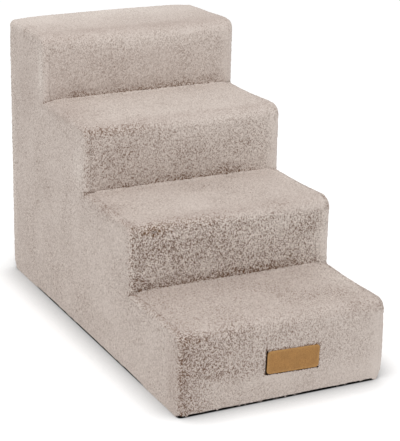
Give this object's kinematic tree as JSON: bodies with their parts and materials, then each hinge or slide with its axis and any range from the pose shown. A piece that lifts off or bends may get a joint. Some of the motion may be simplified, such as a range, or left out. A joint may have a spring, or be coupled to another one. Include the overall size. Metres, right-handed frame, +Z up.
{
  "type": "pet stairs",
  "caption": "Foam pet stairs in a zip-off beige plush cover, with rounded treads, a black non-slip base and a plain tan label.",
  "frame": {"origin": "on the floor, under the middle of the stairs' overall box", "axes": "+X across the treads to the right as seen from the front, +Y from the lowest step at the front to the back, +Z up"},
  "size_m": [0.38, 0.755, 0.5],
  "materials": {
    "plush": "taupe-beige cut-pile teddy plush, about 8 mm deep on a knitted backing",
    "foam": "open-cell polyurethane foam, cut faces",
    "comfort_foam": "softer open-cell foam",
    "base_fabric": "black non-slip fabric with raised dots",
    "seam_tape": "black woven binding tape",
    "label": "tan smooth faux leather, bare",
    "zip_tape": "woven polyester tape",
    "zip_coil": "moulded nylon coil",
    "zip_metal": "nickel-coloured die-cast zinc"
  },
  "bodies": {
    "stairs": {"base_panel": "base_fabric", "base_seam_tape": "seam_tape", "base_foam_slab": "foam", "foam_slab_1": "foam", "foam_slab_2": "foam", "foam_slab_3": "foam", "foam_slab_4": "foam", "comfort_layer_1": "comfort_foam", "comfort_layer_2": "comfort_foam", "comfort_layer_3": "comfort_foam", "comfort_layer_4": "comfort_foam", "plush_step_1": "plush", "plush_step_2": "plush", "plush_step_3": "plush", "plush_step_4": "plush", "plush_side_left": "plush", "plush_side_right": "plush", "plush_back_left": "plush", "plush_back_right": "plush", "plush_back_band": "plush", "label_patch": "label", "zip_tape_left": "zip_tape", "zip_tape_right": "zip_tape", "zip_end_tab": "zip_tape", "zip_coil_left": "zip_coil", "zip_coil_right": "zip_coil", "zip_stops": "zip_metal"},
    "zip_slider": {"zip_slider": "zip_metal"},
    "zip_pull": {"zip_pull": "zip_metal"}
  },
  "joints": [
    {"name": "zip_slide", "type": "slide", "parent": "stairs", "child": "zip_slider", "axis": [0, 0, 1], "range_m": [0, 0.371]},
    {"name": "pull_swing", "type": "hinge", "parent": "zip_slider", "child": "zip_pull", "pos_m": [0, 0.3756, 0.0413], "axis": [1, 0, 0], "range_deg": [0, 170]}
  ]
}
